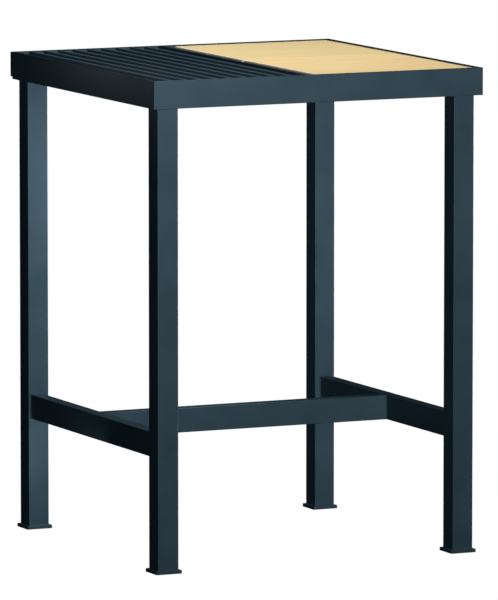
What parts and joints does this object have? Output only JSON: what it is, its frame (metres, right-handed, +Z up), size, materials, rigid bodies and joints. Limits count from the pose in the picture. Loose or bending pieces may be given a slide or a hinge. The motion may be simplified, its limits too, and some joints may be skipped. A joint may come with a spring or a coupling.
{
  "type": "welding table",
  "caption": "Small square welding table: a steel tray on plated tube legs with an H stretcher, half lift-out slatted grate, half loose fireclay slabs.",
  "frame": {"origin": "on the floor under the middle of the table", "axes": "+Z up; the front faces -Y; +X to the right, so that the grate lies towards -X and the fireclay slabs towards +X"},
  "size_m": [0.65, 0.65, 0.885],
  "materials": {
    "frame_coat": "satin anthracite powder coat on mild steel",
    "grate_coat": "satin anthracite powder coat on mild steel flat bar",
    "fireclay": "unglazed pressed fireclay, matt beige"
  },
  "bodies": {
    "frame": {"front_rail": "frame_coat", "back_rail": "frame_coat", "left_rail": "frame_coat", "right_rail": "frame_coat", "front_ledge": "frame_coat", "back_ledge": "frame_coat", "right_ledge": "frame_coat", "centre_bearer": "frame_coat", "leg_front_left": "frame_coat", "leg_front_right": "frame_coat", "leg_back_left": "frame_coat", "leg_back_right": "frame_coat", "foot_plate_front_left": "frame_coat", "foot_plate_front_right": "frame_coat", "foot_plate_back_left": "frame_coat", "foot_plate_back_right": "frame_coat", "side_stretcher_left": "frame_coat", "side_stretcher_right": "frame_coat", "cross_stretcher": "frame_coat"},
    "grate": {"grate_cross_bar_front": "grate_coat", "grate_cross_bar_back": "grate_coat", "grate_bar_01": "grate_coat", "grate_bar_02": "grate_coat", "grate_bar_03": "grate_coat", "grate_bar_04": "grate_coat", "grate_bar_05": "grate_coat", "grate_bar_06": "grate_coat", "grate_bar_07": "grate_coat", "grate_bar_08": "grate_coat", "grate_bar_09": "grate_coat", "grate_bar_10": "grate_coat"},
    "slab_front": {"slab_front": "fireclay"},
    "slab_back": {"slab_back": "fireclay"}
  },
  "joints": [
    {"name": "grate_lift", "type": "slide", "parent": "frame", "child": "grate", "axis": [0, 0, 1], "range_m": [0, 0.06]},
    {"name": "slab_front_lift", "type": "slide", "parent": "frame", "child": "slab_front", "axis": [0, 0, 1], "range_m": [0, 0.06]},
    {"name": "slab_back_lift", "type": "slide", "parent": "frame", "child": "slab_back", "axis": [0, 0, 1], "range_m": [0, 0.06]}
  ]
}
